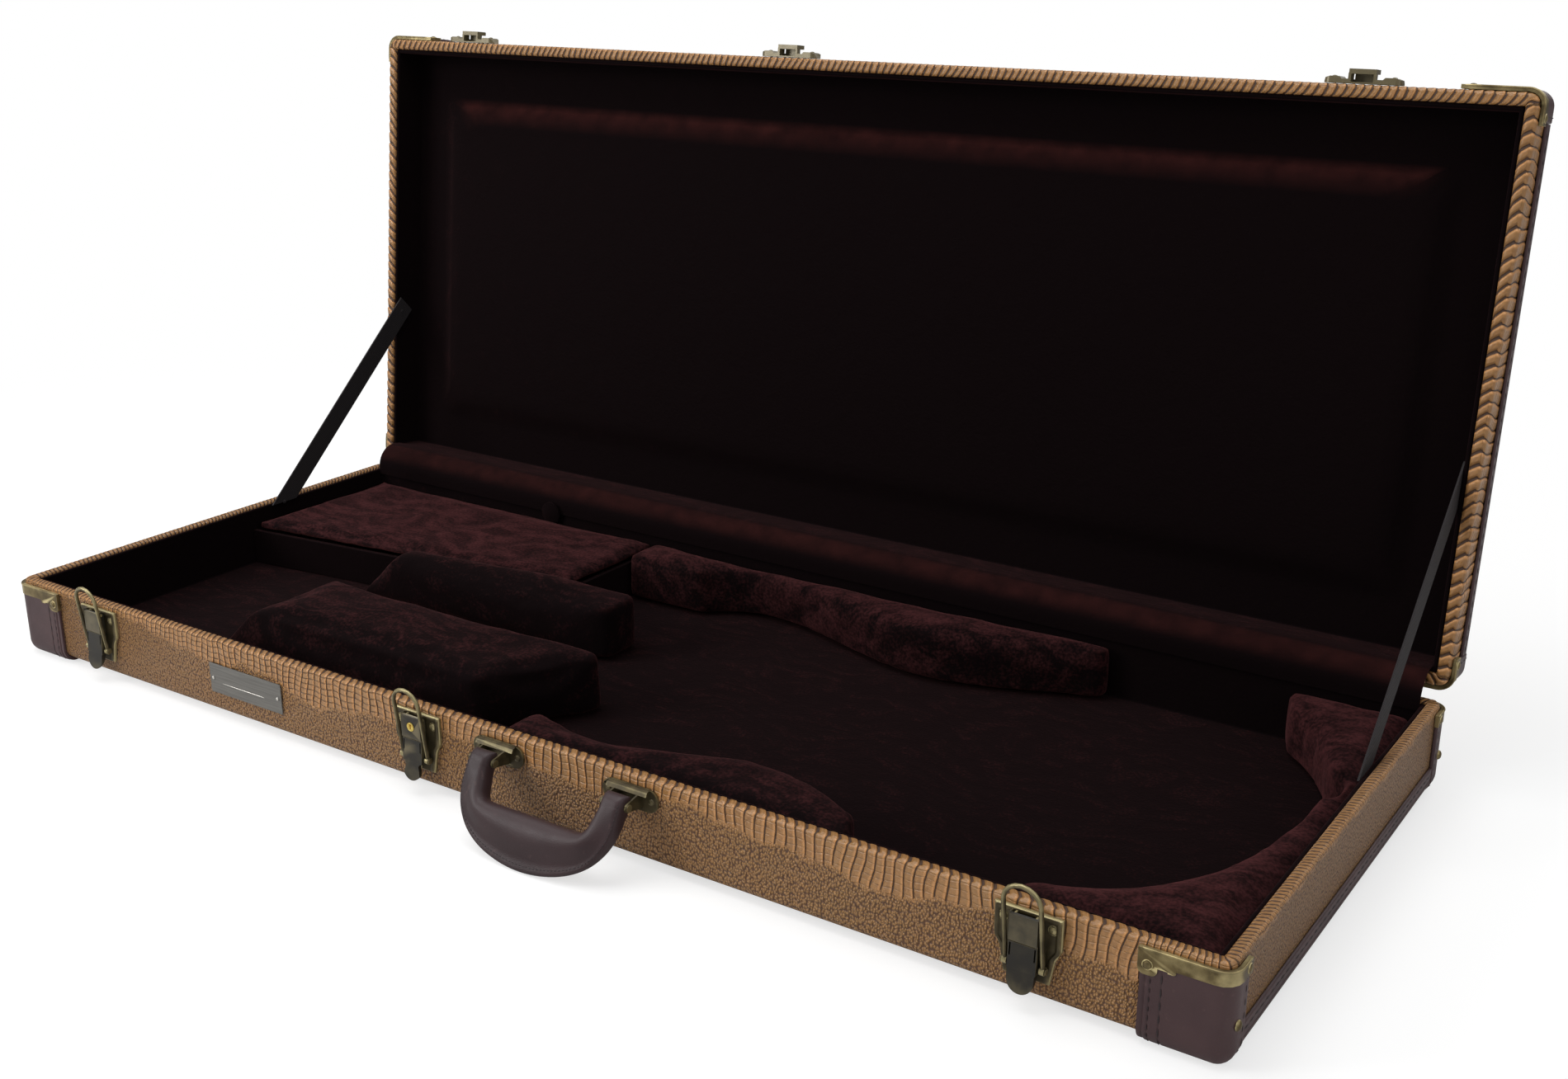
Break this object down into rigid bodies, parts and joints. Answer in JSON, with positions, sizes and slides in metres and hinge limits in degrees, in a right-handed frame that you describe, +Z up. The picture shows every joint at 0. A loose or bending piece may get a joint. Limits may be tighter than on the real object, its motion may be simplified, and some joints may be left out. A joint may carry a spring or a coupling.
{
  "type": "guitar case",
  "caption": "Rectangular hard case for an electric guitar, open, with draw latches, leather corners and handle, a padded plush interior, a storage box and stay straps.",
  "frame": {"origin": "centre of the base panel on its underside", "axes": "+Z up, +X along the length towards the body end, +Y from the handle side to the hinges"},
  "size_m": [1.0994, 0.5727, 0.5045],
  "materials": {
    "vinyl": "embossed reptile grain",
    "leather": "smooth, stitched",
    "brass": "antique, bright on the edges",
    "plush": "short pile plush",
    "webbing": "woven",
    "nameplate": "dull"
  },
  "bodies": {
    "base": {"accessory_box_walls": "plush", "base_back_wall": "vinyl", "base_brass_corner_back_left": "brass", "base_brass_corner_back_right": "brass", "base_brass_corner_front_left": "brass", "base_brass_corner_front_right": "brass", "base_front_wall": "vinyl", "base_leather_end_left": "leather", "base_leather_end_right": "leather", "base_left_wall": "vinyl", "base_lining": "plush", "base_panel": "vinyl", "base_right_wall": "vinyl", "body_pad_front": "plush", "body_pad_rear": "plush", "body_pad_right": "plush", "handle_bracket_left": "brass", "handle_bracket_right": "brass", "hinge_base_leaf_centre": "brass", "hinge_base_leaf_left": "brass", "hinge_base_leaf_right": "brass", "hinge_cover": "plush", "latch_plate_centre": "brass", "latch_plate_left": "brass", "latch_plate_right": "brass", "nameplate": "nameplate", "neck_block_front": "plush", "neck_block_rear": "plush", "stay_strap_left": "webbing", "stay_strap_right": "webbing"},
    "lid": {"hinge_lid_leaf_centre": "brass", "hinge_lid_leaf_left": "brass", "hinge_lid_leaf_right": "brass", "lid_back_wall": "vinyl", "lid_brass_corner_back_left": "brass", "lid_brass_corner_back_right": "brass", "lid_brass_corner_front_left": "brass", "lid_brass_corner_front_right": "brass", "lid_catch_centre": "brass", "lid_catch_left": "brass", "lid_catch_right": "brass", "lid_front_wall": "vinyl", "lid_leather_end_left": "leather", "lid_leather_end_right": "leather", "lid_left_wall": "vinyl", "lid_lining": "plush", "lid_panel": "vinyl", "lid_right_wall": "vinyl"},
    "box_lid": {"accessory_box_lid": "plush"},
    "handle": {"handle": "leather"},
    "bail_centre": {"latch_bail_centre": "brass"},
    "bail_left": {"latch_bail_left": "brass"},
    "bail_right": {"latch_bail_right": "brass"},
    "cross_pin_centre": {"latch_cross_pin_centre": "brass"},
    "cross_pin_left": {"latch_cross_pin_left": "brass"},
    "cross_pin_right": {"latch_cross_pin_right": "brass"},
    "lever_centre": {"latch_lever_centre": "brass"},
    "lever_left": {"latch_lever_left": "brass"},
    "lever_right": {"latch_lever_right": "brass"},
    "lock": {"lock_cylinder": "brass"}
  },
  "joints": [
    {"name": "lid_hinge", "type": "hinge", "parent": "base", "child": "lid", "pos_m": [0, 0.2175, 0.0644], "axis": [-1, 0, 0], "range_deg": [-96.3, 0], "deforming": ["stay_strap_left", "stay_strap_right", "hinge_cover"]},
    {"name": "box_lid_hinge", "type": "hinge", "parent": "base", "child": "box_lid", "pos_m": [-0.5315, 0.028, 0.053], "axis": [0.993, 0.118, 0], "range_deg": [0, 85]},
    {"name": "handle_swing", "type": "hinge", "parent": "base", "child": "handle", "pos_m": [0.0696, -0.2285, 0.0485], "axis": [-1, 0, 0], "range_deg": [-38, 125]},
    {"name": "lever_left_pivot", "type": "hinge", "parent": "base", "child": "lever_left", "pos_m": [-0.437, -0.2175, 0.05635], "axis": [-1, 0, 0], "range_deg": [0, 90]},
    {"name": "cross_pin_left_turn", "type": "hinge", "parent": "lever_left", "child": "cross_pin_left", "pos_m": [-0.437, -0.2169, 0.025], "axis": [-1, 0, 0], "range_deg": [-90, 0]},
    {"name": "bail_left_swing", "type": "hinge", "parent": "cross_pin_left", "child": "bail_left", "pos_m": [-0.437, -0.2169, 0.025], "axis": [1, 0, 0], "range_deg": [-8, 110]},
    {"name": "lever_centre_pivot", "type": "hinge", "parent": "base", "child": "lever_centre", "pos_m": [-0.068, -0.2175, 0.05635], "axis": [-1, 0, 0], "range_deg": [0, 90]},
    {"name": "cross_pin_centre_turn", "type": "hinge", "parent": "lever_centre", "child": "cross_pin_centre", "pos_m": [-0.068, -0.2169, 0.025], "axis": [-1, 0, 0], "range_deg": [-90, 0]},
    {"name": "bail_centre_swing", "type": "hinge", "parent": "cross_pin_centre", "child": "bail_centre", "pos_m": [-0.068, -0.2169, 0.025], "axis": [1, 0, 0], "range_deg": [-8, 110]},
    {"name": "lever_right_pivot", "type": "hinge", "parent": "base", "child": "lever_right", "pos_m": [0.423, -0.2175, 0.05635], "axis": [-1, 0, 0], "range_deg": [0, 90]},
    {"name": "cross_pin_right_turn", "type": "hinge", "parent": "lever_right", "child": "cross_pin_right", "pos_m": [0.423, -0.2169, 0.025], "axis": [-1, 0, 0], "range_deg": [-90, 0]},
    {"name": "bail_right_swing", "type": "hinge", "parent": "cross_pin_right", "child": "bail_right", "pos_m": [0.423, -0.2169, 0.025], "axis": [1, 0, 0], "range_deg": [-8, 110]},
    {"name": "lock_turn", "type": "hinge", "parent": "lever_centre", "child": "lock", "pos_m": [-0.068, -0.2183, 0.05], "axis": [0, -1, 0], "range_deg": [0, 90]}
  ],
  "couplings": [
    {"joint": "cross_pin_left_turn", "follows": "lever_left_pivot", "ratio": -1},
    {"joint": "cross_pin_centre_turn", "follows": "lever_centre_pivot", "ratio": -1},
    {"joint": "cross_pin_right_turn", "follows": "lever_right_pivot", "ratio": -1}
  ]
}
